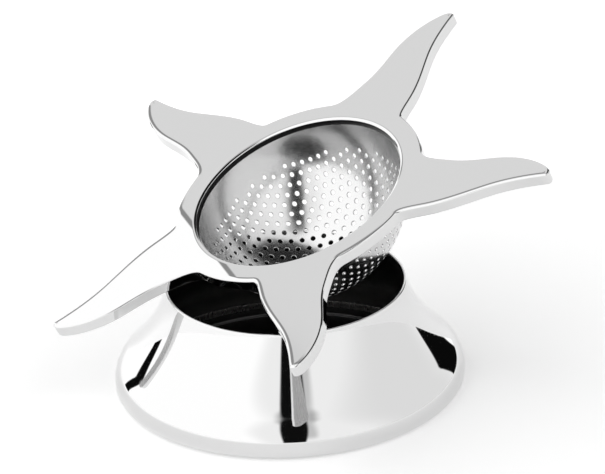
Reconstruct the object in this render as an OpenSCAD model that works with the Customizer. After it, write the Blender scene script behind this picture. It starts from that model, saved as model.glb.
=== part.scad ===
// Tea strainer shaped like a sea star, leaning in its flared drip stand.
// Origin: centre of the stand's flat underside. +Z up, +X to the right, +Y away from the front.

/* [Star plate] */
// Distance from the bowl's axis to the tip of each arm
tip_r = 65; // [60:0.5:72]
// Outer radius of the ring that the arms grow from
ring_r = 31; // [30.5:0.5:33]
// Thickness of the plate
plate_t = 3.1; // [2.6:0.1:3.6]
// Diameter of the opening above the bowl
opening_d = 51; // [50.4:0.1:51.2]
// Depth of the lip that covers the edge of the bowl
lip_t = 1.4; // [1:0.1:1.8]
// Downward bend of the resting arm, in degrees
arm_bend = 4.2; // [1:0.2:6]

/* [Strainer bowl] */
// Outer radius of the bowl
bowl_r = 25.7; // [25.6:0.05:25.8]
// Thickness of the perforated sheet
bowl_t = 0.45; // [0.35:0.05:0.6]
// Diameter of each hole
hole_d = 1.15; // [0.8:0.05:1.4]
// Distance between neighbouring holes, along the sheet
hole_pitch = 2.75; // [2.5:0.05:4]
// Radius of the perforated area, along the sheet from the lowest point
perforated_r = 32.2; // [20:0.2:33]
// Turn of the hole pattern about the bowl's axis
pattern_turn = 10; // [0:1:60]

/* [Drip stand] */
// Radius at the rim
rim_r = 28.3; // [28.2:0.1:30]
// Height of the rim above the table
stand_h = 26.4; // [25:0.1:26.6]
// Radius at the widest place
base_r = 41.2; // [39:0.1:44]
// Thickness of the sheet
stand_t = 0.7; // [0.5:0.05:0.9]
// Radius of the rounded edge at the foot
foot_round = 2.6; // [2.2:0.1:3]
// Width of the lip that is turned in under the drip pan
foot_lip = 2.6; // [2:0.1:4]

/* [Resting place] */
// Lean of the strainer from level, in degrees
lean = 21.8; // [20:0.2:23]
// Compass direction of the lean, in degrees from +X
lean_dir = 211.5; // [208:0.5:215]
// Compass direction of the first arm
arm_dir = 49.2; // [46:0.1:53]
// Centre of the opening
rest_at = [3.8, 9.2, 45.2];

/* [Hidden] */
$fn = 96;
arms = 5;
resting_arm = 3;
bowl_seat_gap = 0.08;      // room between the bowl and its seat in the plate
braze_gap = 0.02;          // keeps a filler's straight steps clear of a round wall
fillet = 0.8;              // how far the filler runs over the pan's flange
steps = 8;                 // straight steps in each curved stretch of an outline
over = 1;                  // how far a cutter runs past the face it cuts
steel = "silver";

// Point on a cubic curve through its four control points
function curve_at(c, t) =
    pow(1 - t, 3) * c[0] + 3 * t * pow(1 - t, 2) * c[1] + 3 * t * t * (1 - t) * c[2] + t * t * t * c[3];
// The curve as points, without its last one
function curve(c) = [for (i = [0 : steps - 1]) curve_at(c, i / steps)];
// Points round part of a circle
function arc(centre, r, from, to) =
    [for (i = [0 : steps]) let (a = from + (to - from) * i / steps) centre + r * [cos(a), sin(a)]];
function polar(r, a) = r * [cos(a), sin(a)];
function reversed(list) = [for (i = [len(list) - 1 : -1 : 0]) list[i]];
// A chain of points moved sideways by d, to the right of its direction of travel
function beside(pts, d) = [for (i = [0 : len(pts) - 1])
    let (a = pts[max(i - 1, 0)], b = pts[min(i + 1, len(pts) - 1)], v = (b - a) / norm(b - a))
    pts[i] + d * [v[1], -v[0]]];

// ---- Star plate -------------------------------------------------------------------------------
// An arm lies along +X. It leans to its left: the left edge swells, the right edge is hollow.
root_in = 0.3;             // how far the outline starts inside the ring
root_left = 21.4;          // where the left edge leaves the ring, in degrees
root_right = -20.3;        // where the right edge leaves the ring
root_back = [26.2, 9.4];   // inner end of the arm, hidden in the ring
bend_at = 24.6;            // distance of the bend line from the bowl's axis
bend_turn = 6;             // turn of the bend line from square to the resting arm
bent_w = 44;               // width of the strip that is bent down: the ring's edge and the whole arm
// Curves that follow each other end to end: places along the arm are fractions of its length
function on_arm(f, y) = [ring_r + f * (tip_r - ring_r), y];
left_root = polar(ring_r - root_in, root_left);
right_root = polar(ring_r - root_in, root_right);
arm_outline = concat(
    curve([left_root, left_root + 2.6 * [0.36, -0.93], on_arm(0.065, 8.4), on_arm(0.206, 7.4)]),
    curve([on_arm(0.206, 7.4), on_arm(0.338, 6.5), on_arm(0.426, 7.05), on_arm(0.559, 7.05)]),
    curve([on_arm(0.559, 7.05), on_arm(0.735, 7.05), on_arm(0.888, 4.9), on_arm(0.979, 2.1)]),
    curve([on_arm(0.979, 2.1), on_arm(1.009, 1.2), on_arm(1.015, -0.5), on_arm(0.988, -0.8)]),
    curve([on_arm(0.988, -0.8), on_arm(0.824, -1.15), on_arm(0.691, -1.9), on_arm(0.559, -3.65)]),
    curve([on_arm(0.559, -3.65), on_arm(0.426, -5.4), on_arm(0.324, -7.2), on_arm(0.176, -8.4)]),
    curve([on_arm(0.176, -8.4), on_arm(0.088, -9.1), right_root + 1.5 * [0.35, 0.94], right_root]),
    [right_root, [root_back[0], -root_back[1]], root_back]);

// Moves a piece from the strainer's own frame, with the opening at its origin, to where it rests
module at_rest() {
    translate(rest_at) rotate([0, 0, lean_dir]) rotate([0, lean, 0]) rotate([0, 0, arm_dir - lean_dir])
        children();
}

module star_outline() {
    circle(r = ring_r);
    for (i = [0 : arms - 1]) rotate(-360 / arms * i) polygon(arm_outline);
}

// The strip of the star that goes down with the resting arm, with X square to the bend line
module past_bend() {
    translate([bend_at, -bent_w / 2]) square([tip_r, bent_w]);
}

module star_plate() {
    bend_dir = -360 / arms * resting_arm + bend_turn;
    color(steel) at_rest() difference() {
        union() {
            translate([0, 0, -plate_t]) linear_extrude(plate_t) difference() {
                star_outline();
                rotate(bend_dir) past_bend();
            }
            rotate([0, 0, bend_dir]) translate([bend_at, 0, 0]) rotate([0, arm_bend, 0])
                translate([-bend_at, 0, -plate_t]) linear_extrude(plate_t) intersection() {
                    rotate(-bend_dir) star_outline();
                    past_bend();
                }
        }
        translate([0, 0, -plate_t - over]) cylinder(d = opening_d, h = plate_t + 2 * over);
        translate([0, 0, -plate_t - over]) cylinder(r = bowl_r + bowl_seat_gap, h = plate_t - lip_t + over);
    }
}

// ---- Strainer bowl ----------------------------------------------------------------------------
// The sheet is punched flat with rows of holes a pitch apart, then pressed to a hemisphere
rows = ceil(perforated_r / hole_pitch) + 2;
punched = [for (i = [-rows : rows], j = [-rows : rows])
    let (p = hole_pitch * [i + j / 2, j * sqrt(3) / 2]) if (norm(p) <= perforated_r) p];

module strainer_bowl() {
    color(steel) at_rest() difference() {
        sphere(r = bowl_r);
        sphere(r = bowl_r - bowl_t);
        translate([-bowl_r - over, -bowl_r - over, -lip_t]) cube(2 * (bowl_r + over));
        rotate([0, 0, pattern_turn]) for (p = punched) let (from_axis = norm(p) / bowl_r * 180 / PI)
            rotate([0, 180 - from_axis, atan2(p[1], p[0])])
                translate([0, 0, bowl_r - bowl_t - over]) cylinder(d = hole_d, h = bowl_t + 2 * over, $fn = 16);
    }
}

// Filler that joins the bowl to the plate: it fills the seat down to the plate's underside
module bowl_braze_ring() {
    inner = bowl_r + braze_gap;
    seat_r = bowl_r + bowl_seat_gap - braze_gap;
    color("gainsboro") at_rest() rotate_extrude() polygon(concat(
        arc([0, 0], inner, asin(-lip_t / inner), asin(-plate_t / inner)),
        [[seat_r, -plate_t], [seat_r, -lip_t]]));
}

// ---- Drip stand -------------------------------------------------------------------------------
foot_c = [base_r - foot_round, foot_round];
flank = concat(
    curve([[rim_r, stand_h - stand_t / 2], [rim_r + 1, stand_h - 4.9],
           [base_r - 8.7, 14.5], [base_r - 3, 9.2]]),
    curve([[base_r - 3, 9.2], [base_r - 0.9, 7.1], [base_r, 5.6], [base_r, foot_round]]),
    arc(foot_c, foot_round, 0, -90));
rim_c = [rim_r - stand_t / 2, stand_h - stand_t / 2];
lip_end = foot_c[0] - foot_lip;

module stand_shell() {
    color(steel) rotate_extrude() polygon(concat(
        arc(rim_c, stand_t / 2, 180, 0), flank,
        [[lip_end, 0], [lip_end, stand_t]],
        [for (p = reversed(beside(flank, stand_t))) if (p[1] < stand_h - stand_t) p]));
}

// Shallow dish: its step drops into the turned-in lip, and its flange lies on the lip
module drip_pan() {
    plug_r = lip_end - 0.1;
    color(steel) rotate_extrude() polygon([
        [0, 0], [plug_r, 0], [plug_r, stand_t], [foot_c[0], stand_t], [foot_c[0], 2 * stand_t],
        [plug_r - stand_t, 2 * stand_t], [plug_r - stand_t, stand_t], [0, stand_t]]);
}

// Filler in the corner between the pan's flange and the wall, which makes the stand watertight
module pan_braze_ring() {
    inner = foot_round - stand_t - braze_gap;
    color("gainsboro") rotate_extrude() polygon(concat(
        [foot_c - [fillet, foot_round - 2 * stand_t], foot_c - [0, foot_round - 2 * stand_t]],
        arc(foot_c, inner, -90, -20)));
}

star_plate();
strainer_bowl();
bowl_braze_ring();
stand_shell();
drip_pan();
pan_braze_ring();
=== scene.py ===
"""Polished sea-star tea strainer leaning in its flared drip stand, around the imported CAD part.

Sizes are named in millimetres. The finished pieces are in metres in the CAD frame: origin under the
middle of the stand, +Z up, the camera looking along +Y. The strainer's own frame has its origin in
the middle of the plate's opening, on the top face, with the first arm along +X.
"""

import math

import bmesh
import bpy
from mathutils import Matrix, Vector
from mathutils.geometry import tessellate_polygon


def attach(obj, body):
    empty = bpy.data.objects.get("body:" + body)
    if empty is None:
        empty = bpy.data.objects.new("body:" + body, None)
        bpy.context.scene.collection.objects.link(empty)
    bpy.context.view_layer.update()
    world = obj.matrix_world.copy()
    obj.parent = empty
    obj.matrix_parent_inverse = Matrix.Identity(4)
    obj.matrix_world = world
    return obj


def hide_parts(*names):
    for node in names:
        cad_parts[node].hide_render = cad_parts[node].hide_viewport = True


MM = 0.001

# ---- Sizes, in millimetres -----------------------------------------------------------------------
REST_AT = (3.8, 9.2, 45.2)  # middle of the opening
LEAN = 21.8  # degrees from level
LEAN_DIR = 211.5  # compass direction of the lean, degrees from +X
ARM_DIR = 49.2  # compass direction of the first arm

ARMS = 5
TIP_R = 65.0
RING_R = 31.0
PLATE_T = 3.1
OPENING_R = 25.5
LIP_T = 1.4  # depth of the lip over the bowl's edge
SEAT_R = 25.78  # the counterbore that the bowl sits in
ROOT_LEFT = 21.4  # where an arm's left edge leaves the ring, in degrees from its middle
ROOT_RIGHT = -20.3
RESTING_ARM = 3
ARM_BEND = 4.2  # degrees down
BEND_AT = 24.6  # from the bowl's axis to the middle of the bend
BEND_TURN = 6.0  # turn of the bend line from square to the resting arm, in degrees
BEND_DIR = -360 / ARMS * RESTING_ARM + BEND_TURN  # the way out across the bend line
BEND_W = 1.8  # the sheet turns over this length
BENT_W = 44.0  # width of the strip that goes down with the arm
LIP_W = 0.9  # width of the opening's rolled edge
LIP_D = 0.3  # depth of it
CUSHION_W = 0.9  # the top droops over this width along the outline
CUSHION_TILT = 5.0  # degrees, at the end of the droop
EDGE_ROLL = 0.4  # width of the tight roll after it
FOOT_EDGE = 0.35  # radius of the edge underneath

BOWL_R = 25.7
BOWL_T = 0.45
HOLE_R = 0.575
HOLE_ROLL = 0.14  # width of the rounded edge round a hole
HOLE_ROLL_D = 0.16  # depth of it
HOLE_PITCH = 2.75
PERFORATED_R = 32.2  # along the sheet from the lowest point
PATTERN_TURN = 10.0  # degrees

RIM_R = 28.3
STAND_H = 26.4
BASE_R = 41.2
STAND_T = 0.7
FOOT_ROUND = 2.6
FOOT_LIP = 2.6
PAN_GAP = 0.1  # room between the pan's step and the foot's lip
PAN_CORNER = 0.5  # radius where the pan's flange turns down
PAN_CREASE = 0.2  # radius where its floor begins
FILLET = 0.8  # how far the filler runs over the pan's flange
FILLER_LOW = -48  # where it meets the wall, round the foot's rounded edge, in degrees
FILLER_HIGH = -20
BRAZE_GAP = 0.02  # keeps a filler clear of the wall it lies against

CURVE_STEPS = 14
RING_STEPS = 16  # in the ring's edge between two arms
BEND_STEPS = 6
ROUND_STEPS = 8
FOOT_EDGE_STEPS = 4
FILLER_STEPS = 10
HOLE_SIDES = 12
SHEET_ROWS = 18  # rows of cells on each side of the sheet's middle
LATHE_STEPS = 200

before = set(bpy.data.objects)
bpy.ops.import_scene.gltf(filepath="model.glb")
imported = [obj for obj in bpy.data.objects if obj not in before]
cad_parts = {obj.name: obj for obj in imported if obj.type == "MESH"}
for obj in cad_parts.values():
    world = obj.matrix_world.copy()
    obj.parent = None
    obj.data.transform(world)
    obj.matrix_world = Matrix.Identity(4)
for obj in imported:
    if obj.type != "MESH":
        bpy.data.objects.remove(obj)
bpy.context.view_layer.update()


# ---- Curves --------------------------------------------------------------------------------------
def bezier(points, steps=CURVE_STEPS):
    """Points of a cubic curve, without its last one."""
    a, b, c, d = (Vector(p) for p in points)
    curve = []
    for i in range(steps):
        t = i / steps
        curve.append((1 - t) ** 3 * a + 3 * t * (1 - t) ** 2 * b + 3 * t * t * (1 - t) * c + t**3 * d)
    return curve


def arc(centre, radius, start, end, steps):
    """Points of a circle from one angle to another, in degrees."""
    points = []
    for i in range(steps + 1):
        a = math.radians(start + (end - start) * i / steps)
        points.append(Vector((centre[0] + radius * math.cos(a), centre[1] + radius * math.sin(a))))
    return points


def polar(radius, angle):
    return Vector((radius * math.cos(math.radians(angle)), radius * math.sin(math.radians(angle))))


def turned(points, angle):
    rotation = Matrix.Rotation(math.radians(angle), 2)
    return [rotation @ p for p in points]


def on_arm(fraction, y):
    return Vector((RING_R + fraction * (TIP_R - RING_R), y))


def arm_edge():
    """The edge of an arm that lies along +X, from its right root round the tip to its left root."""
    left, right = polar(RING_R, ROOT_LEFT), polar(RING_R, ROOT_RIGHT)
    curves = [
        (left, left + 2.6 * Vector((0.36, -0.93)), on_arm(0.065, 8.4), on_arm(0.206, 7.4)),
        (on_arm(0.206, 7.4), on_arm(0.338, 6.5), on_arm(0.426, 7.05), on_arm(0.559, 7.05)),
        (on_arm(0.559, 7.05), on_arm(0.735, 7.05), on_arm(0.888, 4.9), on_arm(0.979, 2.1)),
        (on_arm(0.979, 2.1), on_arm(1.009, 1.2), on_arm(1.015, -0.5), on_arm(0.988, -0.8)),
        (on_arm(0.988, -0.8), on_arm(0.824, -1.15), on_arm(0.691, -1.9), on_arm(0.559, -3.65)),
        (on_arm(0.559, -3.65), on_arm(0.426, -5.4), on_arm(0.324, -7.2), on_arm(0.176, -8.4)),
        (on_arm(0.176, -8.4), on_arm(0.088, -9.1), right + 1.5 * Vector((0.35, 0.94)), right),
    ]
    points = [p for curve in curves for p in bezier(curve)] + [right]
    return points[::-1]


def star_edge():
    """The whole outline of the plate, anticlockwise."""
    between = arc((0, 0), RING_R, ROOT_LEFT, 360 / ARMS + ROOT_RIGHT, RING_STEPS)[1:-1]
    points = []
    for i in range(ARMS):
        points += turned(arm_edge(), 360 / ARMS * i)
        points += turned(between, 360 / ARMS * i)
    return points


def outward(points):
    """Unit normals of a closed anticlockwise outline, eased over the neighbouring points."""
    n = len(points)
    normals = []
    for i in range(n):
        step = points[(i + 1) % n] - points[i - 1]
        normals.append(Vector((step.y, -step.x)).normalized())
    for _ in range(2):
        eased = [normals[i - 1] + 2 * normals[i] + normals[(i + 1) % n] for i in range(n)]
        normals = [normal.normalized() for normal in eased]
    return normals


# ---- Meshes --------------------------------------------------------------------------------------
def at_rest():
    """From the strainer's own frame to where it leans in the stand."""
    turn = Matrix.Rotation(math.radians(LEAN_DIR), 4, "Z")
    lean = Matrix.Rotation(math.radians(LEAN), 4, "Y")
    back = Matrix.Rotation(math.radians(ARM_DIR - LEAN_DIR), 4, "Z")
    return Matrix.Translation(Vector(REST_AT)) @ turn @ lean @ back


def make_piece(name, vertices, faces, corner_normals, material, place=None):
    """A finished smooth mesh piece from points in millimetres and one normal for each face corner."""
    place = place or Matrix.Identity(4)
    spin = place.to_3x3()
    mesh = bpy.data.meshes.new(name)
    mesh.from_pydata([tuple(place @ Vector(v) * MM) for v in vertices], [], faces)
    mesh.shade_smooth()
    mesh.normals_split_custom_set([tuple(spin @ Vector(n)) for face in corner_normals for n in face])
    mesh.materials.append(material)
    piece = bpy.data.objects.new(name, mesh)
    bpy.context.scene.collection.objects.link(piece)
    return piece


def slopes(chain):
    """Unit normals of an open chain of (radius, height) points, to the right of its travel."""
    out = []
    for i in range(len(chain)):
        step = chain[min(i + 1, len(chain) - 1)] - chain[max(i - 1, 0)]
        out.append(Vector((step.y, -step.x)).normalized())
    return out


def lathe(name, chains, material, place=None):
    """A closed solid of revolution.

    The chains of (radius, height) follow each other round the section, with the metal on their
    left. Each is smooth in itself and meets the next at a sharp corner.
    """
    rings, strips = [], []
    for chain in chains:
        start = len(rings)
        rings += chain[:-1]
        normals = slopes(chain)
        for i in range(len(chain) - 1):
            strips.append((start + i, start + i + 1, (normals[i], normals[i + 1])))
    total = len(rings)
    vertices, rows = [], []
    for r, z in rings:
        if r < 1e-6:
            rows.append([len(vertices)] * LATHE_STEPS)
            vertices.append((0, 0, z))
            continue
        rows.append(list(range(len(vertices), len(vertices) + LATHE_STEPS)))
        for k in range(LATHE_STEPS):
            a = 2 * math.pi * k / LATHE_STEPS
            vertices.append((r * math.cos(a), r * math.sin(a), z))
    faces, normals = [], []
    for lower, upper, (n_low, n_up) in strips:
        lower, upper = lower % total, upper % total
        for k in range(LATHE_STEPS):
            m = (k + 1) % LATHE_STEPS
            around = [(lower, k, n_low), (lower, m, n_low), (upper, m, n_up), (upper, k, n_up)]
            face, corner = [], []
            for ring, step, n in around:
                if rows[ring][step] in face:
                    continue
                a = 2 * math.pi * step / LATHE_STEPS
                face.append(rows[ring][step])
                corner.append((n.x * math.cos(a), n.x * math.sin(a), n.y))
            if len(face) > 2:
                faces.append(face)
                normals.append(corner)
    return make_piece(name, vertices, faces, normals, material, place)


# ---- Materials -----------------------------------------------------------------------------------
def link(tree, source, target):
    tree.links.new(source, target)


BUFF_STRETCH = (1.0, 0.12, 1.0)  # the buffing lines run along the second axis
BUFF_TURN = (0.3, 0.2, 0.7)  # radians


def polish_group():
    """Fine buffing lines and a slow waviness of a polished sheet: gives roughness and height."""
    group = bpy.data.node_groups.new("buffed_surface", "ShaderNodeTree")
    face = group.interface
    sizes = (("Wave Size", 60.0), ("Line Size", 900.0), ("Base Roughness", 0.05), ("Haze", 0.04))
    for name, value in sizes:
        face.new_socket(name, in_out="INPUT", socket_type="NodeSocketFloat").default_value = value
    face.new_socket("Roughness", in_out="OUTPUT", socket_type="NodeSocketFloat")
    face.new_socket("Wave", in_out="OUTPUT", socket_type="NodeSocketFloat")
    nodes = group.nodes
    given, result = nodes.new("NodeGroupInput"), nodes.new("NodeGroupOutput")
    where = nodes.new("ShaderNodeTexCoord")
    wave = nodes.new("ShaderNodeTexNoise")
    wave.inputs["Detail"].default_value = 1.5
    link(group, where.outputs["Object"], wave.inputs["Vector"])
    link(group, given.outputs["Wave Size"], wave.inputs["Scale"])
    stretch = nodes.new("ShaderNodeMapping")
    stretch.inputs["Scale"].default_value = BUFF_STRETCH
    stretch.inputs["Rotation"].default_value = BUFF_TURN
    lines = nodes.new("ShaderNodeTexNoise")
    lines.inputs["Detail"].default_value = 4.0
    link(group, where.outputs["Object"], stretch.inputs["Vector"])
    link(group, stretch.outputs["Vector"], lines.inputs["Vector"])
    link(group, given.outputs["Line Size"], lines.inputs["Scale"])
    rough = nodes.new("ShaderNodeMath")
    rough.operation = "MULTIPLY_ADD"
    link(group, lines.outputs["Fac"], rough.inputs[0])
    link(group, given.outputs["Haze"], rough.inputs[1])
    link(group, given.outputs["Base Roughness"], rough.inputs[2])
    link(group, rough.outputs["Value"], result.inputs["Roughness"])
    link(group, wave.outputs["Fac"], result.inputs["Wave"])
    return group


BUFFED = polish_group()


def steel(name, colour, roughness, haze, wave_size, wave_depth):
    """Stainless steel: colour, evenness of the polish, and how wavy the sheet is, in metres."""
    material = bpy.data.materials.new(name)
    material.use_nodes = True
    tree = material.node_tree
    shader = tree.nodes["Principled BSDF"]
    shader.inputs["Metallic"].default_value = 1.0
    shader.inputs["Base Color"].default_value = (*colour, 1.0)
    polish = tree.nodes.new("ShaderNodeGroup")
    polish.node_tree = BUFFED
    polish.inputs["Base Roughness"].default_value = roughness
    polish.inputs["Haze"].default_value = haze
    polish.inputs["Wave Size"].default_value = wave_size
    bump = tree.nodes.new("ShaderNodeBump")
    bump.inputs["Strength"].default_value = 1.0
    bump.inputs["Distance"].default_value = wave_depth
    link(tree, polish.outputs["Roughness"], shader.inputs["Roughness"])
    link(tree, polish.outputs["Wave"], bump.inputs["Height"])
    link(tree, bump.outputs["Normal"], shader.inputs["Normal"])
    return material


def grey(value):
    return (value, value, value)


PLATE_STEEL = steel("polished_plate_steel", grey(0.7), 0.02, 0.03, 45.0, 0.000004)
SHEET_STEEL = steel("perforated_sheet_steel", grey(0.68), 0.13, 0.09, 260.0, 0.00005)
STAND_STEEL = steel("polished_stand_steel", grey(0.7), 0.02, 0.03, 40.0, 0.000004)
# Satin pan: satin finish, with a dark colour that is painted shade inside the stand.
SATIN_PAN_PAINTED_SHADE = steel("satin_pan_steel_painted_shade", grey(0.2), 0.3, 0.15, 60.0, 0.00002)
# Painted shade: near-black colour for the wall under the opening's lip.
LIP_WALL_PAINTED_SHADE = steel("lip_wall_painted_shade", grey(0.02), 0.35, 0.15, 60.0, 0.00002)
# Satin underside: satin finish, with a colour darker than the top's that is painted shade.
SATIN_UNDERSIDE_PAINTED_SHADE = steel("satin_underside_steel_painted_shade", grey(0.5), 0.2, 0.15, 60.0, 0.00002)
# Inside of the stand: rough unpolished finish, and a near-black colour that is painted shade.
UNPOLISHED_PAINTED_SHADE = steel("unpolished_steel_painted_shade", grey(0.09), 0.3, 0.15, 60.0, 0.00002)
FILLER = steel("silver_filler", (0.62, 0.61, 0.59), 0.2, 0.15, 400.0, 0.00004)


# ---- Star plate ----------------------------------------------------------------------------------
LEVEL = 0.999  # a face whose normal is this upright is level
FACES_ALONG = 0.9  # a normal counts as pointing along another from here
WALL_REACH = 0.05  # how far past the opening's radius its wall is looked for


def lip_roll():
    """Rows of (inset, height, normal out, normal up) down the opening's edge, part of an ellipse."""
    rows = []
    for i in range(ROUND_STEPS + 1):
        a = math.pi / 2 * i / ROUND_STEPS
        n = Vector((LIP_D * math.sin(a), LIP_W * math.cos(a))).normalized()
        rows.append((LIP_W * (1 - math.sin(a)), -LIP_D * (1 - math.cos(a)), n.x, n.y))
    return rows


def edge_roll():
    """The same down the outline's edge: the top droops over the cushion, then turns over."""
    tilt = math.radians(CUSHION_TILT)
    droop = CUSHION_W * math.tan(tilt) / 2
    radius = EDGE_ROLL / (1 - math.sin(tilt))
    rows = []
    for i in range(ROUND_STEPS):
        share = i / ROUND_STEPS
        a = tilt * share
        inset = EDGE_ROLL + CUSHION_W * (1 - share)
        rows.append((inset, -droop * share**2, math.sin(a), math.cos(a)))
    for i in range(ROUND_STEPS + 1):
        a = tilt + (math.pi / 2 - tilt) * i / ROUND_STEPS
        fall = droop + radius * (math.cos(tilt) - math.cos(a))
        rows.append((radius * (1 - math.sin(a)), -fall, math.sin(a), math.cos(a)))
    return rows


def foot_roll():
    """The same round the edge underneath, from its side to the underside."""
    rows = []
    for i in range(FOOT_EDGE_STEPS + 1):
        a = math.pi / 2 * i / FOOT_EDGE_STEPS
        height = -PLATE_T + FOOT_EDGE * (1 - math.sin(a))
        rows.append((FOOT_EDGE * (1 - math.cos(a)), height, math.cos(a), -math.sin(a)))
    return rows


def bend_down(point, normal):
    """Turns what lies past the bend line down, round an arc of the sheet."""
    spin = Matrix.Rotation(math.radians(BEND_DIR), 3, "Z")
    p, n = spin.inverted() @ point, spin.inverted() @ normal
    start, full = BEND_AT - BEND_W / 2, math.radians(ARM_BEND)
    if p.x <= start or abs(p.y) > BENT_W / 2:
        return point, normal
    radius = BEND_W / full
    angle = min((p.x - start) / radius, full)
    past = max(p.x - start - BEND_W, 0)
    x = start + (radius + p.z) * math.sin(angle) + past * math.cos(full)
    z = -radius + (radius + p.z) * math.cos(angle) - past * math.sin(full)
    tilt = Matrix.Rotation(angle, 3, "Y")
    return spin @ Vector((x, p.y, z)), spin @ (tilt @ n)


def flat_plate():
    """The plate before its arm is bent: rolled edges, and flat faces between them.

    Gives the mesh and its layer of wanted normals.
    """
    edge = star_edge()
    out = outward(edge)
    spin = [2 * math.pi * k / LATHE_STEPS for k in range(LATHE_STEPS)]
    hole = [Vector((math.cos(a), math.sin(a))) for a in spin]
    inward = [-n for n in hole]
    mesh = bmesh.new()
    wanted = mesh.verts.layers.float_vector.new("normal")

    def ring(places, headings, height, side, up):
        made = []
        for place, way in zip(places, headings):
            v = mesh.verts.new((place.x, place.y, height))
            v[wanted] = Vector((side * way.x, side * way.y, up)).normalized()
            made.append(v)
        return made

    def edge_ring(inset, height, side, up):
        return ring([p - inset * n for p, n in zip(edge, out)], out, height, side, up)

    def hole_ring(radius, height, side=1.0, up=0.0):
        return ring([radius * n for n in hole], inward, height, side, up)

    def wall(rows):
        for low, high in zip(rows, rows[1:]):
            n = len(low)
            for k in range(n):
                mesh.faces.new((low[k], low[(k + 1) % n], high[(k + 1) % n], high[k]))

    def fill(outline, opening, upwards):
        loops = [[v.co.copy() for v in outline], [v.co.copy() for v in opening]]
        both = outline + opening
        for a, b, c in tessellate_polygon(loops):
            face = mesh.faces.new([both[a], both[b], both[c]])
            face.normal_update()
            if (face.normal.z > 0) != upwards:
                face.normal_flip()

    outer = [edge_ring(*row) for row in reversed(edge_roll())]
    under = [edge_ring(*row) for row in foot_roll()]
    wall(under[::-1] + outer)
    inner = [hole_ring(OPENING_R + inset, height, side, up) for inset, height, side, up in lip_roll()]
    inner.append(hole_ring(OPENING_R, -LIP_T))
    wall(inner)
    seat = [hole_ring(SEAT_R, -LIP_T), hole_ring(SEAT_R, -PLATE_T)]
    wall([inner[-1]] + seat)
    fill(outer[-1], inner[0], True)
    fill(under[-1], seat[-1], False)
    return mesh, wanted


def cut_at_bend(mesh):
    """Cuts the flat faces across the bend, so that they can turn in steps."""
    angle = math.radians(BEND_DIR)
    way = Vector((math.cos(angle), math.sin(angle), 0))
    for i in range(BEND_STEPS + 1):
        place = way * (BEND_AT - BEND_W / 2 + BEND_W * i / BEND_STEPS)
        geometry = mesh.verts[:] + mesh.edges[:] + mesh.faces[:]
        bmesh.ops.bisect_plane(mesh, geom=geometry, plane_co=place, plane_no=way)


def bent_plate():
    """Points, faces and corner normals of the plate with one arm bent down."""
    mesh, wanted = flat_plate()
    cut_at_bend(mesh)
    mesh.verts.index_update()
    vertices, turned_normals = [], []
    for v in mesh.verts:
        n = Vector(v[wanted])
        n = n.normalized() if n.length > 0 else Vector((0, 0, 1))
        place, n = bend_down(v.co.copy(), n)
        vertices.append(place)
        turned_normals.append(n)
    faces, normals = [], []
    for face in mesh.faces:
        face.normal_update()
        faces.append([v.index for v in face.verts])
        z = face.normal.z
        level = abs(z) > LEVEL
        row = []
        for v in face.verts:
            if level and v[wanted].z * z < FACES_ALONG:
                row.append(bend_down(v.co.copy(), Vector((0, 0, math.copysign(1, z))))[1])
            else:
                row.append(turned_normals[v.index])
        normals.append(row)
    mesh.free()
    return vertices, faces, normals


def star_plate():
    """Bright plate; painted shade darkens its satin underside and the wall under the lip."""
    piece = make_piece("star_plate_body", *bent_plate(), PLATE_STEEL, at_rest())
    piece.data.materials.append(SATIN_UNDERSIDE_PAINTED_SHADE)
    piece.data.materials.append(LIP_WALL_PAINTED_SHADE)
    down = at_rest().to_3x3() @ Vector((0, 0, -1))
    inside = at_rest().inverted()
    for face in piece.data.polygons:
        middle = inside @ (face.center / MM)
        # faces looking down take the satin underside, its colour darkened as painted shade
        if face.normal.dot(down) > FACES_ALONG:
            face.material_index = 1
        # the wall under the lip takes a near-black colour: painted shade
        elif middle.xy.length < OPENING_R + WALL_REACH and middle.z < -LIP_D:
            face.material_index = 2
    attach(piece, "strainer")
    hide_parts("star_plate")


# ---- Stand ---------------------------------------------------------------------------------------
FOOT_C = Vector((BASE_R - FOOT_ROUND, FOOT_ROUND))  # middle of the foot's rounded edge
LIP_END = FOOT_C.x - FOOT_LIP


def flank():
    """The stand's outer face from just under the rim to the floor."""
    brim = (RIM_R, STAND_H - STAND_T / 2)
    bell = (BASE_R - 3, 9.2)
    upper = [brim, (RIM_R + 1, STAND_H - 4.9), (BASE_R - 8.7, 14.5), bell]
    lower = [bell, (BASE_R - 0.9, 7.1), (BASE_R, 5.6), (BASE_R, FOOT_ROUND)]
    return bezier(upper, 40) + bezier(lower, 20) + arc(FOOT_C, FOOT_ROUND, 0, -90, 16)


def beside(chain, distance):
    """The chain moved sideways, to the left of its travel."""
    return [p - distance * n for p, n in zip(chain, slopes(chain))]


def stand_shell():
    """Flared shell, foot's turned-in lip to rolled rim; polished outside, painted shade inside."""
    outside = flank()[::-1]
    inside = [p for p in beside(outside, STAND_T) if p.y < STAND_H - STAND_T]
    rim = arc((RIM_R - STAND_T / 2, STAND_H - STAND_T / 2), STAND_T / 2, 0, 180, 10)
    lip_low, lip_high = Vector((LIP_END, 0)), Vector((LIP_END, STAND_T))
    skin = [lip_low] + outside + rim[1:] + inside[::-1] + [lip_high]
    piece = lathe("stand_flank", [skin, [lip_high, lip_low]], STAND_STEEL)
    piece.data.materials.append(UNPOLISHED_PAINTED_SHADE)
    # faces inside the stand take the unpolished steel, coloured near black as painted shade
    for face in piece.data.polygons:
        if face.center.z < (STAND_H - STAND_T) * MM and face.center.xy.dot(face.normal.xy) < 0:
            face.material_index = 1
    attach(piece, "stand")
    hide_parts("stand_shell")


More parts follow.
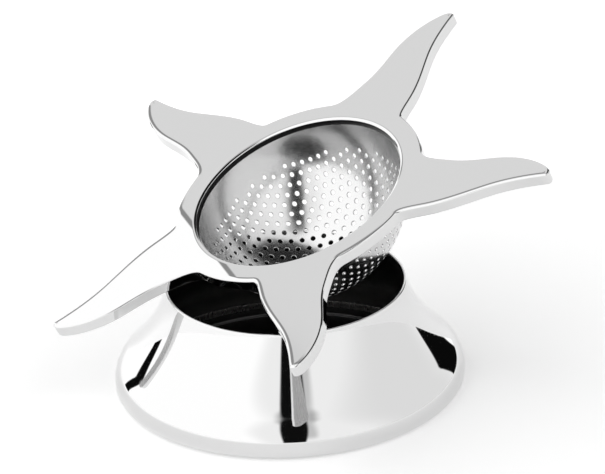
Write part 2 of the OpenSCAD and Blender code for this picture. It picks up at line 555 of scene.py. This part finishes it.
def drip_pan():
    """Shallow dish inside the foot, with a rolled corner where it steps up on to the shell's lip."""
    plug_r = LIP_END - PAN_GAP
    dish_r = plug_r - STAND_T
    low, high = STAND_T, 2 * STAND_T
    under = [Vector((0, 0)), Vector((plug_r, 0))]
    step = [Vector((plug_r, 0)), Vector((plug_r, low))]
    shelf = [Vector((plug_r, low)), Vector((FOOT_C.x, low))]
    brim = [Vector((FOOT_C.x, low)), Vector((FOOT_C.x, high))]
    over = [Vector((FOOT_C.x, high)), Vector((dish_r + PAN_CORNER, high))]
    over += arc((dish_r + PAN_CORNER, high - PAN_CORNER), PAN_CORNER, 90, 180, 6)[1:]
    over += arc((dish_r - PAN_CREASE, low + PAN_CREASE), PAN_CREASE, 0, -90, 4)
    over += [Vector((0, low))]
    # the dish's dark colour is painted shade for the inside of the stand
    piece = lathe("drip_dish", [under, step, shelf, brim, over], SATIN_PAN_PAINTED_SHADE)
    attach(piece, "stand")
    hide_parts("drip_pan")


def pan_filler():
    """Filler in the corner between the dish's flange and the wall, with a hollow face."""
    inner = FOOT_ROUND - STAND_T - BRAZE_GAP
    wall = arc(FOOT_C, inner, FILLER_LOW, FILLER_HIGH, FILLER_STEPS)
    start = Vector((FOOT_C.x - FILLET, 2 * STAND_T))
    hollow = [wall[-1], wall[-1] + Vector((-0.5, -0.6)), start + Vector((0.9, 0)), start]
    face = bezier(hollow, 12) + [start]
    piece = lathe("dish_filler", [[start, wall[0]], wall, face], FILLER)
    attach(piece, "stand")
    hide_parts("pan_braze_ring")


# ---- Strainer bowl -------------------------------------------------------------------------------
CELL_JOIN = 0.01  # neighbouring cells' corners are merged within this distance
SHARP_ANGLE = math.radians(50)  # edges turned further than this stay sharp
SPHERE_REACH = 0.02  # a corner this near a sphere lies on it


def tile(name, rings, middle):
    """One six-sided cell of the sheet.

    Rings are (radius, or None for the cell's border, and height). With a middle, the first and
    last rings are closed by a fan each.
    """
    vertices, faces, rows = [], [], []
    for radius, z in rings:
        rows.append(range(len(vertices), len(vertices) + HOLE_SIDES))
        for k in range(HOLE_SIDES):
            a = 2 * math.pi * k / HOLE_SIDES
            border = HOLE_PITCH / 2 if k % 2 == 0 else HOLE_PITCH / math.sqrt(3)
            r = radius or border
            vertices.append((r * math.cos(a), r * math.sin(a), z))
    if middle:
        for row, z, up in ((rows[0], rings[0][1], True), (rows[-1], rings[-1][1], False)):
            vertices.append((0, 0, z))
            for k in range(HOLE_SIDES):
                rim = (row[k], row[(k + 1) % HOLE_SIDES])
                faces.append((*(rim if up else rim[::-1]), len(vertices) - 1))
    else:
        for upper, lower in zip(rows, rows[1:]):
            for k in range(HOLE_SIDES):
                m = (k + 1) % HOLE_SIDES
                faces.append((upper[k], upper[m], lower[m], lower[k]))
    mesh = bpy.data.meshes.new(name)
    mesh.from_pydata(vertices, [], faces)
    mesh.shade_smooth()
    piece = bpy.data.objects.new(name, mesh)
    bpy.context.scene.collection.objects.link(piece)
    return piece


class Tree:
    """A small helper to write a Geometry Nodes tree as nested calls."""

    def __init__(self, name):
        self.tree = bpy.data.node_groups.new(name, "GeometryNodeTree")
        self.tree.is_modifier = True
        self.tree.interface.new_socket("Geometry", in_out="INPUT", socket_type="NodeSocketGeometry")
        self.given = self.tree.nodes.new("NodeGroupInput")
        self.inputs = {}

    def size(self, name, value):
        socket = self.tree.interface.new_socket(name, in_out="INPUT", socket_type="NodeSocketFloat")
        socket.default_value = value
        self.inputs[name] = (socket.identifier, value)
        return self.given.outputs[name]

    def node(self, kind, inputs=(), **settings):
        made = self.tree.nodes.new(kind)
        for key, value in settings.items():
            setattr(made, key, value)
        for key, value in dict(inputs).items():
            if isinstance(value, bpy.types.NodeSocket):
                self.tree.links.new(value, made.inputs[key])
            else:
                made.inputs[key].default_value = value
        return made

    def math(self, operation, *values):
        return self.node("ShaderNodeMath", enumerate(values), operation=operation).outputs[0]

    def vector(self, operation, *values):
        made = self.node("ShaderNodeVectorMath", enumerate(values), operation=operation)
        return made.outputs["Value" if operation == "LENGTH" else "Vector"]

    def scaled(self, vector, scale):
        made = self.node("ShaderNodeVectorMath", {0: vector, "Scale": scale}, operation="SCALE")
        return made.outputs["Vector"]

    def geometry(self, kind, before, inputs=(), source="Geometry"):
        """The next node along the geometry, fed by the one before."""
        fed = {"Geometry": before.outputs[source], **dict(inputs)}
        return self.node("GeometryNode" + kind, fed)

    def apply(self, piece):
        modifier = piece.modifiers.new("made", "NODES")
        modifier.node_group = self.tree
        for identifier, value in self.inputs.values():
            modifier[identifier] = value
        evaluated = piece.evaluated_get(bpy.context.evaluated_depsgraph_get())
        mesh = bpy.data.meshes.new_from_object(evaluated)
        piece.modifiers.remove(modifier)
        return mesh


def punched_tree(holed, plain):
    """Rows of cells a pitch apart, with holes near the middle, pressed on to a sphere."""
    t = Tree("punched_bowl")
    pitch = t.size("Pitch", HOLE_PITCH)
    perforated = t.size("Perforated Radius", PERFORATED_R)
    sheet = t.size("Sheet Radius", BOWL_R * math.pi / 2 + HOLE_PITCH)
    radius = t.size("Bowl Radius", BOWL_R)
    row = t.math("MULTIPLY", pitch, math.sqrt(3) / 2)
    grid = t.node("GeometryNodeMeshGrid", {
        "Size X": t.math("MULTIPLY", pitch, 2 * SHEET_ROWS),
        "Size Y": t.math("MULTIPLY", row, 2 * SHEET_ROWS),
        "Vertices X": 2 * SHEET_ROWS + 1,
        "Vertices Y": 2 * SHEET_ROWS + 1,
    })
    place = t.node("GeometryNodeInputPosition").outputs[0]
    y = t.node("ShaderNodeSeparateXYZ", {0: place}).outputs["Y"]
    number = t.math("ABSOLUTE", t.math("ROUND", t.math("DIVIDE", y, row)))
    shift = t.math("MULTIPLY", t.math("MODULO", number, 2.0), t.math("MULTIPLY", pitch, 0.5))
    offset = t.node("ShaderNodeCombineXYZ", {"X": shift}).outputs[0]
    rows = t.geometry("SetPosition", grid, {"Offset": offset}, source="Mesh")

    from_middle = t.vector("LENGTH", place)
    off_sheet = t.math("GREATER_THAN", from_middle, sheet)
    kept = t.geometry("DeleteGeometry", rows, {"Selection": off_sheet})
    inside = t.math("LESS_THAN", from_middle, perforated)
    outside = t.math("SUBTRACT", 1.0, inside)
    parts = t.node("GeometryNodeJoinGeometry")
    for piece, chosen in ((holed, inside), (plain, outside)):
        cell = t.node("GeometryNodeObjectInfo", {"Object": piece})
        cells = t.node("GeometryNodeInstanceOnPoints", {
            "Points": kept.outputs["Geometry"],
            "Selection": chosen,
            "Instance": cell.outputs["Geometry"],
        })
        t.tree.links.new(cells.outputs["Instances"], parts.inputs["Geometry"])
    real = t.geometry("RealizeInstances", parts)
    joined = t.geometry("MergeByDistance", real, {"Distance": CELL_JOIN})

    split = t.node("ShaderNodeSeparateXYZ", {0: place}).outputs
    level = t.node("ShaderNodeCombineXYZ", {"X": split["X"], "Y": split["Y"]}).outputs[0]
    angle = t.math("DIVIDE", t.vector("LENGTH", level), radius)
    across = t.scaled(t.vector("NORMALIZE", level), t.math("SINE", angle))
    down = t.math("MULTIPLY", t.math("COSINE", angle), -1.0)
    way = t.vector("ADD", across, t.node("ShaderNodeCombineXYZ", {"Z": down}).outputs[0])
    pressed = t.scaled(way, t.math("SUBTRACT", radius, split["Z"]))
    bowl = t.geometry("SetPosition", joined, {"Position": pressed})
    coated = t.geometry("SetMaterial", bowl, {"Material": SHEET_STEEL})
    t.tree.interface.new_socket("Geometry", in_out="OUTPUT", socket_type="NodeSocketGeometry")
    t.node("NodeGroupOutput", {"Geometry": coated.outputs["Geometry"]})
    return t


def trim_rim(mesh):
    """Cuts the pressed sheet off level under the plate's lip and closes its edge."""
    work = bmesh.new()
    work.from_mesh(mesh)
    bmesh.ops.bisect_plane(work, geom=work.verts[:] + work.edges[:] + work.faces[:], dist=1e-4,
                           plane_co=(0, 0, -LIP_T), plane_no=(0, 0, 1), clear_outer=True)
    open_edges = [e for e in work.edges if e.is_boundary]
    bmesh.ops.bridge_loops(work, edges=open_edges)
    for edge in open_edges:
        edge.smooth = False
    for edge in work.edges:
        if edge.is_manifold and edge.calc_face_angle(0) > SHARP_ANGLE:
            edge.smooth = False
    bmesh.ops.recalc_face_normals(work, faces=work.faces[:])
    for face in work.faces:
        face.smooth = True
    work.to_mesh(mesh)
    work.free()


def round_normals(mesh):
    """Gives both faces of the sheet the normals of their spheres, so that they look smooth."""
    normals = [corner.vector.copy() for corner in mesh.corner_normals]
    for face in mesh.polygons:
        for corner in face.loop_indices:
            place = mesh.vertices[mesh.loops[corner].vertex_index].co
            for radius, way in ((BOWL_R, 1), (BOWL_R - BOWL_T, -1)):
                round_normal = way * place.normalized()
                on_sphere = abs(place.length - radius) < SPHERE_REACH
                if on_sphere and face.normal.dot(round_normal) > 0.5:
                    normals[corner] = round_normal
    mesh.normals_split_custom_set(normals)


def strainer_bowl():
    """Sheet of cells with a rolled hole each, plain near the rim, pressed to half a sphere."""
    knee = (HOLE_R + 0.4 * HOLE_ROLL, BOWL_T - 0.3125 * HOLE_ROLL_D)  # part way round the roll
    holed = tile("holed_cell", [
        (None, BOWL_T),
        (HOLE_R + HOLE_ROLL, BOWL_T),
        knee,
        (HOLE_R, BOWL_T - HOLE_ROLL_D),
        (HOLE_R, 0),
        (None, 0),
    ], False)
    plain = tile("plain_cell", [(None, BOWL_T), (None, 0)], True)
    piece = bpy.data.objects.new("perforated_bowl", bpy.data.meshes.new("empty_start"))
    bpy.context.scene.collection.objects.link(piece)
    piece.data = punched_tree(holed, plain).apply(piece)
    for cell in (holed, plain):
        bpy.data.objects.remove(cell)
    trim_rim(piece.data)
    round_normals(piece.data)
    turn = Matrix.Rotation(math.radians(PATTERN_TURN), 4, "Z")
    piece.data.transform(Matrix.Scale(MM, 4) @ at_rest() @ turn)
    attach(piece, "strainer")
    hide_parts("strainer_bowl")


def seat_filler():
    """Filler between the bowl and its seat, slightly hollow, level with the plate's underside."""
    inner, back_r = BOWL_R + BRAZE_GAP, SEAT_R - BRAZE_GAP
    top = -math.degrees(math.asin(LIP_T / inner))
    bottom = -math.degrees(math.asin(PLATE_T / inner))
    bowl_side = arc((0, 0), inner, top, bottom, FILLER_STEPS)
    low, end = bowl_side[-1], Vector((back_r, -PLATE_T))
    high = Vector((back_r, -LIP_T))
    back, lid = [end, high], [high, bowl_side[0]]
    face = bezier([low, low + Vector((0.03, 0.1)), end + Vector((-0.03, 0.1)), end], 6) + [end]
    piece = lathe("seat_filler", [bowl_side, face, back, lid], FILLER, at_rest())
    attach(piece, "strainer")
    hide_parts("bowl_braze_ring")


# ---- Studio --------------------------------------------------------------------------------------
# Distances here are in metres, apart from the lens and its sensor.
VIEW_ELEVATION = math.radians(25.31)
VIEW_ROLL = math.radians(2.82)
VIEW_DISTANCE = 1.7703
VIEW_AIM = Vector((0, 0, 0.020))
VIEW_SLIDE = Vector((-0.00367, -0.0162))
VIEW_LENS = 450
VIEW_SENSOR = 36

FLOOR_HALF = 4.0
FLOOR_GREY = 0.9
GLOW_NEAR = 0.3  # the floor's own light under the stand
GLOW_LEFT = 0.6  # and away from it
GLOW_RIGHT = 0.32
GLOW_SIDES = 0.12  # from here to the left and right it no longer changes
GLOW_START = 0.042  # distances from the middle between which it rises
GLOW_END = 0.2
TENT_LEVEL = 1.42


def view_axes():
    """The camera's right, up and back directions."""
    level = Vector((1, 0, 0))
    up = Vector((0, math.sin(VIEW_ELEVATION), math.cos(VIEW_ELEVATION)))
    right = math.cos(VIEW_ROLL) * level - math.sin(VIEW_ROLL) * up
    upright = math.sin(VIEW_ROLL) * level + math.cos(VIEW_ROLL) * up
    return right, upright, right.cross(upright)


def camera():
    right, up, back = view_axes()
    data = bpy.data.cameras.new("camera")
    data.lens, data.sensor_width = VIEW_LENS, VIEW_SENSOR
    data.clip_start, data.clip_end = 0.1, 20
    view = bpy.data.objects.new("camera", data)
    place = VIEW_AIM + back * VIEW_DISTANCE - right * VIEW_SLIDE.x - up * VIEW_SLIDE.y
    turn = Matrix((right, up, back)).transposed().to_4x4()
    view.matrix_world = Matrix.Translation(place) @ turn
    bpy.context.scene.collection.objects.link(view)
    bpy.context.scene.camera = view


def ramp(tree, source, limits):
    """A smooth step of a value: limits are (from, to, result at from, result at to)."""
    node = tree.nodes.new("ShaderNodeMapRange")
    node.interpolation_type = "SMOOTHSTEP"
    link(tree, source, node.inputs["Value"])
    for name, value in zip(("From Min", "From Max", "To Min", "To Max"), limits):
        if isinstance(value, bpy.types.NodeSocket):
            link(tree, value, node.inputs[name])
        else:
            node.inputs[name].default_value = value
    return node.outputs["Result"]


def floor():
    """Pale floor with some light of its own, stronger away from the stand and to the left."""
    mesh = bpy.data.meshes.new("floor")
    corners = [(x * FLOOR_HALF, y * FLOOR_HALF, 0) for x, y in ((-1, -1), (1, -1), (1, 1), (-1, 1))]
    mesh.from_pydata(corners, [], [(0, 1, 2, 3)])
    material = bpy.data.materials.new("pale_floor")
    material.use_nodes = True
    tree = material.node_tree
    shader = tree.nodes["Principled BSDF"]
    shader.inputs["Base Color"].default_value = (*grey(FLOOR_GREY), 1)
    shader.inputs["Roughness"].default_value = 0.9
    shader.inputs["Specular IOR Level"].default_value = 0.0
    shader.inputs["Emission Color"].default_value = (1, 1, 1, 1)
    where = tree.nodes.new("ShaderNodeTexCoord")
    apart = tree.nodes.new("ShaderNodeSeparateXYZ")
    far = tree.nodes.new("ShaderNodeVectorMath")
    far.operation = "LENGTH"
    link(tree, where.outputs["Object"], apart.inputs["Vector"])
    link(tree, where.outputs["Object"], far.inputs[0])
    side = ramp(tree, apart.outputs["X"], (-GLOW_SIDES, GLOW_SIDES, GLOW_LEFT, GLOW_RIGHT))
    glow = ramp(tree, far.outputs["Value"], (GLOW_START, GLOW_END, GLOW_NEAR, side))
    link(tree, glow, shader.inputs["Emission Strength"])
    mesh.materials.append(material)
    piece = bpy.data.objects.new("floor", mesh)
    bpy.context.scene.collection.objects.link(piece)


def heading(azimuth, elevation):
    a, e = math.radians(azimuth), math.radians(elevation)
    return Vector((math.cos(a) * math.cos(e), math.sin(a) * math.cos(e), math.sin(e)))


def card_group():
    """How much of a soft-edged card lies in a direction: 1 in its middle, 0 off it.

    A squareness of 2 gives an ellipse, and a large one a rectangle.
    """
    group = bpy.data.node_groups.new("studio_card", "ShaderNodeTree")
    face = group.interface
    for name in ("Direction", "Centre", "Across", "Upward"):
        face.new_socket(name, in_out="INPUT", socket_type="NodeSocketVector")
    for name in ("Half Width", "Half Height", "Softness", "Squareness"):
        face.new_socket(name, in_out="INPUT", socket_type="NodeSocketFloat")
    face.new_socket("Mask", in_out="OUTPUT", socket_type="NodeSocketFloat")
    given, result = group.nodes.new("NodeGroupInput"), group.nodes.new("NodeGroupOutput")

    def sockets(kind, operation, *values):
        made = group.nodes.new(kind)
        made.operation = operation
        for i, value in enumerate(values):
            if isinstance(value, (int, float)):
                made.inputs[i].default_value = value
            else:
                link(group, value, made.inputs[i])
        return made.outputs["Value"]

    def number(operation, *values):
        return sockets("ShaderNodeMath", operation, *values)

    def dot(name):
        facing = given.outputs["Direction"]
        return sockets("ShaderNodeVectorMath", "DOT_PRODUCT", facing, given.outputs[name])

    ahead = number("MAXIMUM", dot("Centre"), 0.001)
    power = given.outputs["Squareness"]
    softness = given.outputs["Softness"]
    parts = []
    for name, half in (("Across", "Half Width"), ("Upward", "Half Height")):
        off = number("ABSOLUTE", number("DIVIDE", dot(name), ahead))
        parts.append(number("POWER", number("DIVIDE", off, given.outputs[half]), power))
    reach = number("POWER", number("ADD", *parts), number("DIVIDE", 1.0, power))
    edge = (number("SUBTRACT", 1.0, softness), number("ADD", 1.0, softness), 1.0, 0.0)
    in_front = number("GREATER_THAN", dot("Centre"), 0.01)
    mask = number("MULTIPLY", in_front, ramp(group, reach, edge))
    link(group, mask, result.inputs["Mask"])
    return group


class Card:
    """A card of the light tent, in degrees: where its middle is, and its half sizes."""

    def __init__(self, azimuth, elevation, wide, high, level, soft=0.1, square=2.0):
        self.centre = heading(azimuth, elevation)
        self.across = Vector((-self.centre.y, self.centre.x, 0)).normalized()
        self.upward = self.centre.cross(self.across)
        self.sizes = math.tan(math.radians(wide)), math.tan(math.radians(high)), soft, square
        self.level = level


CARDS = [
    Card(310, 20, 60, 60, 1.2, soft=0.3, square=4),  # greyer front right side
    Card(8, 20, 38, 50, 1.0, soft=0.6, square=3),  # and the right side
    Card(90, 37, 24.7, 30, 0.95, soft=0.015, square=20),  # grey back wall, seen in the star's top
    Card(121.3, 37, 1.5, 14, 0.35, soft=0.35, square=6),  # gap beside it
    Card(138.5, 5, 3.4, 16, 0.004, soft=0.12, square=8),  # dark post at the left
    Card(50, 10, 10.5, 30, 0.004, soft=0.06, square=8),  # dark doorway at the right
    Card(62, 67, 31, 31, 0.02, soft=0.06),  # dark opening overhead
    Card(275, 64, 9, 7, 0.4, soft=0.4),  # fold above the camera
    Card(281, 40, 5, 28, 0.75, soft=0.5, square=4),  # fold beside it
    Card(271, 28, 8.0, 40, 0.006, soft=0.12, square=6),  # slit for the camera
]


def tent():
    """White light from all round, with the cards laid over it one after the other."""
    world = bpy.data.worlds.new("tent")
    world.use_nodes = True
    bpy.context.scene.world = world
    tree = world.node_tree
    where = tree.nodes.new("ShaderNodeTexCoord")
    group = card_group()
    start = tree.nodes.new("ShaderNodeValue")
    start.outputs[0].default_value = TENT_LEVEL
    level = start.outputs[0]
    for card in CARDS:
        shape = tree.nodes.new("ShaderNodeGroup")
        shape.node_tree = group
        link(tree, where.outputs["Generated"], shape.inputs["Direction"])
        ways = (("Centre", card.centre), ("Across", card.across), ("Upward", card.upward))
        sizes = zip(("Half Width", "Half Height", "Softness", "Squareness"), card.sizes)
        for name, value in (*ways, *sizes):
            shape.inputs[name].default_value = value
        mix = tree.nodes.new("ShaderNodeMix")
        link(tree, shape.outputs["Mask"], mix.inputs["Factor"])
        link(tree, level, mix.inputs["A"])
        mix.inputs["B"].default_value = card.level
        level = mix.outputs["Result"]
    link(tree, level, tree.nodes["Background"].inputs["Color"])


# ---- The scene -----------------------------------------------------------------------------------
star_plate()
strainer_bowl()
seat_filler()
stand_shell()
drip_pan()
pan_filler()
camera()
floor()
tent()
bpy.context.scene.view_settings.view_transform = "Standard"
